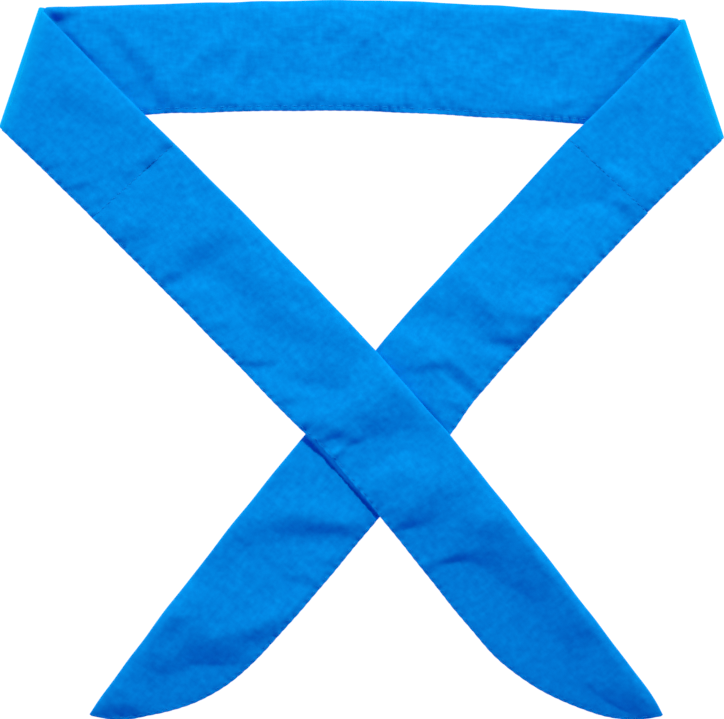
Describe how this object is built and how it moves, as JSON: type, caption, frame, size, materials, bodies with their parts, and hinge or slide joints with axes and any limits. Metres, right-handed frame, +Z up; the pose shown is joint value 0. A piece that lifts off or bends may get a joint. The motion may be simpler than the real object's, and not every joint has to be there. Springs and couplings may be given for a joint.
{
  "type": "cooling neck wrap",
  "caption": "Long flat cloth sleeve for the neck, laid flat with its corners turned over and its pointed ties crossed.",
  "frame": {"origin": "middle of the laid wrap's outline, on the surface that it lies on", "axes": "+Z up out of the surface, +Y from the ties' points towards the neck band, +X along the band to the right"},
  "size_m": [0.2958, 0.2949, 0.0063],
  "materials": {
    "cloth": "matt plain-weave cloth in bright blue"
  },
  "bodies": {
    "root": {"neck_pocket": "cloth", "left_tie": "cloth", "right_tie": "cloth"}
  },
  "joints": []
}
